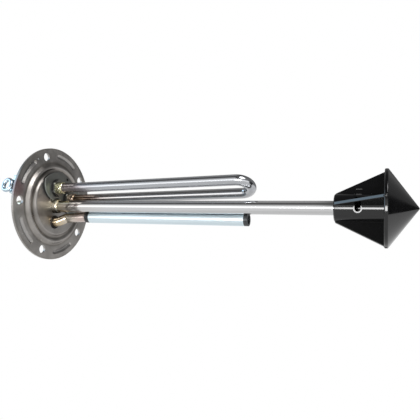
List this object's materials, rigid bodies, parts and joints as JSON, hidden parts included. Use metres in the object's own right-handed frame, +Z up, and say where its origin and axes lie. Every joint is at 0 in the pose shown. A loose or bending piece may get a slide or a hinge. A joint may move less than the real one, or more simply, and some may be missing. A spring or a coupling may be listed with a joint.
{
  "type": "heating element",
  "caption": "Round bolted flange with a hairpin immersion heater, a long pipe ending in a finned diffuser cone, a short sleeved pipe and a wire eye at the rim.",
  "frame": {"origin": "centre of the bolt circle, on the tank-side face of the flange's flat land", "axes": "+X points from the flange into the tank along the tubes, +Z is up, +Y is the far side in the picture"},
  "size_m": [0.3285, 0.0966, 0.096],
  "materials": {
    "flange_steel": "pressed steel, satin, heat tinted",
    "plate_steel": "dull grey zinc plated steel",
    "nut_steel": "dull plated steel",
    "ferrule_brass": "turned brass, brazed",
    "seal_rubber": "black flat seal",
    "sheath_steel": "drawn stainless tube, heat tinted at the roots",
    "tube_steel": "polished stainless tube",
    "weld_steel": "straw tinted weld",
    "stub_steel": "polished stainless tube",
    "sleeve_steel": "bright drawn tube",
    "dark_plastic": "dark moulded ring",
    "nose_plastic": "black glossy moulding",
    "zinc_steel": "bluish zinc plated wire",
    "bar_steel": "bluish zinc plated strip",
    "magnesia": "packed powder",
    "coil_wire": "heating wire",
    "pin_steel": "drawn steel pin",
    "bead_ceramic": "white ceramic bead",
    "tab_brass": "tinned brass tab"
  },
  "bodies": {
    "root": {"back_nut_far": "nut_steel", "back_nut_near": "nut_steel", "cold_pin_far": "pin_steel", "cold_pin_near": "pin_steel", "element_plate": "plate_steel", "end_seal_far": "bead_ceramic", "end_seal_near": "bead_ceramic", "flange_plate": "flange_steel", "heater_sheath": "sheath_steel", "leg_ferrule_far": "ferrule_brass", "leg_ferrule_near": "ferrule_brass", "leg_nut_far": "nut_steel", "leg_nut_near": "nut_steel", "leg_seal_far": "seal_rubber", "leg_seal_near": "seal_rubber", "long_tube": "tube_steel", "long_tube_collar": "weld_steel", "lug_bar": "bar_steel", "lug_eye": "zinc_steel", "magnesia_core": "magnesia", "nose": "nose_plastic", "resistance_coil": "coil_wire", "sleeve": "sleeve_steel", "sleeve_bush": "dark_plastic", "sleeve_end_ring": "dark_plastic", "spade_terminal_far": "tab_brass", "spade_terminal_near": "tab_brass", "stub_collar": "weld_steel", "stub_tube": "stub_steel"}
  },
  "joints": []
}
